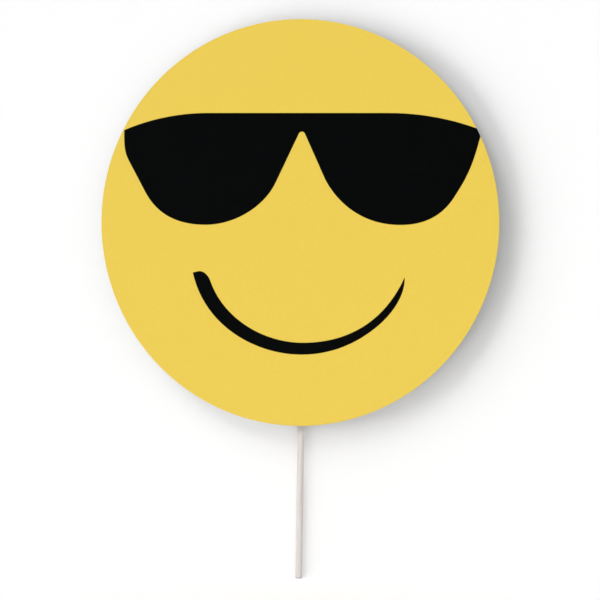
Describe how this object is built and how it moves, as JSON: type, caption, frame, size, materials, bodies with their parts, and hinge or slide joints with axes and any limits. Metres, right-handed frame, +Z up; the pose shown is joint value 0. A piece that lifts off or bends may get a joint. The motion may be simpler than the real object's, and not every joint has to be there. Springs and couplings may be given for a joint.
{
  "type": "photo booth prop sign",
  "caption": "Hand-held photo booth prop: an oval foam board printed with a smiling face in sunglasses, glued and taped to a thin round wooden stick.",
  "frame": {"origin": "middle of the stick's lower end, on the axis of its free length", "axes": "+Z up the sign from the stick's end to the board, -Y out of the printed face, +X to the right of a person looking at the face"},
  "size_m": [0.2444, 0.0099, 0.3444],
  "materials": {
    "yellow_print_paper": "satin",
    "black_print": "satin",
    "white_liner_paper": "matte",
    "white_foam": "matte",
    "pale_birch": "matte",
    "clear_glue": "gloss",
    "paper_tape": "matte"
  },
  "bodies": {
    "root": {"face_sheet": "yellow_print_paper", "sunglasses_print": "black_print", "smile_print": "black_print", "front_liner": "white_liner_paper", "foam_core": "white_foam", "back_liner": "white_liner_paper", "stick": "pale_birch", "stick_glue": "clear_glue", "tape_lower": "paper_tape", "tape_upper": "paper_tape"}
  },
  "joints": []
}
